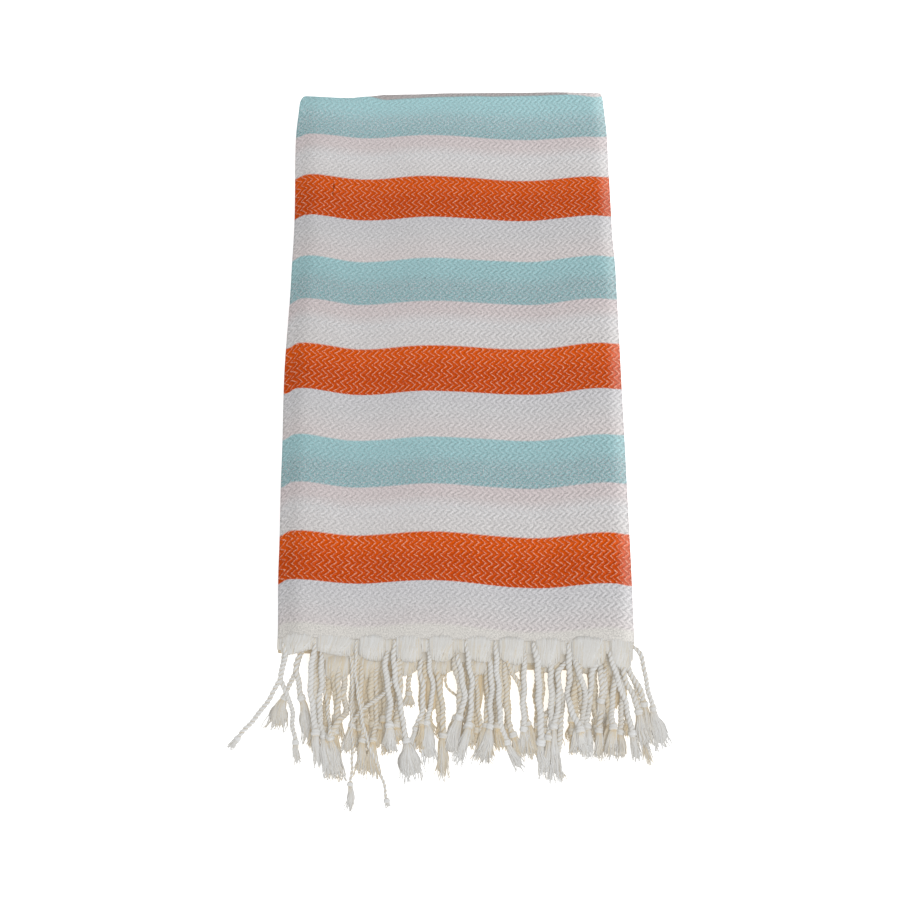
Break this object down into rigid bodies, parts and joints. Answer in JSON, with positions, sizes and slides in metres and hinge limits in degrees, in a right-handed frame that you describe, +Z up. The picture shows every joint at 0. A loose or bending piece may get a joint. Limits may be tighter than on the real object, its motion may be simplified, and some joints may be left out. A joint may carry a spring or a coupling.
{
  "type": "hammam towel",
  "caption": "Striped flat-woven bath towel folded into a long flat bundle, with the knotted fringes of both its ends laid out in front.",
  "frame": {"origin": "middle of the folded cloth's flat underside", "axes": "+Z up from the surface it lies on; +Y along the bundle, from the fringe to the top fold; +X towards the free selvedges, to the right as seen from the fringe"},
  "size_m": [0.2944, 0.5624, 0.023],
  "materials": {
    "striped_cotton": "matt, herringbone twill in orange, white and aqua bands",
    "fringe_cotton": "matt, undyed twisted cotton"
  },
  "bodies": {
    "root": {"cloth": "striped_cotton", "fringe_row_1": "fringe_cotton", "fringe_row_2": "fringe_cotton", "fringe_row_3": "fringe_cotton", "fringe_row_4": "fringe_cotton", "fringe_row_5": "fringe_cotton", "fringe_row_6": "fringe_cotton", "fringe_row_7": "fringe_cotton", "fringe_row_8": "fringe_cotton"}
  },
  "joints": []
}
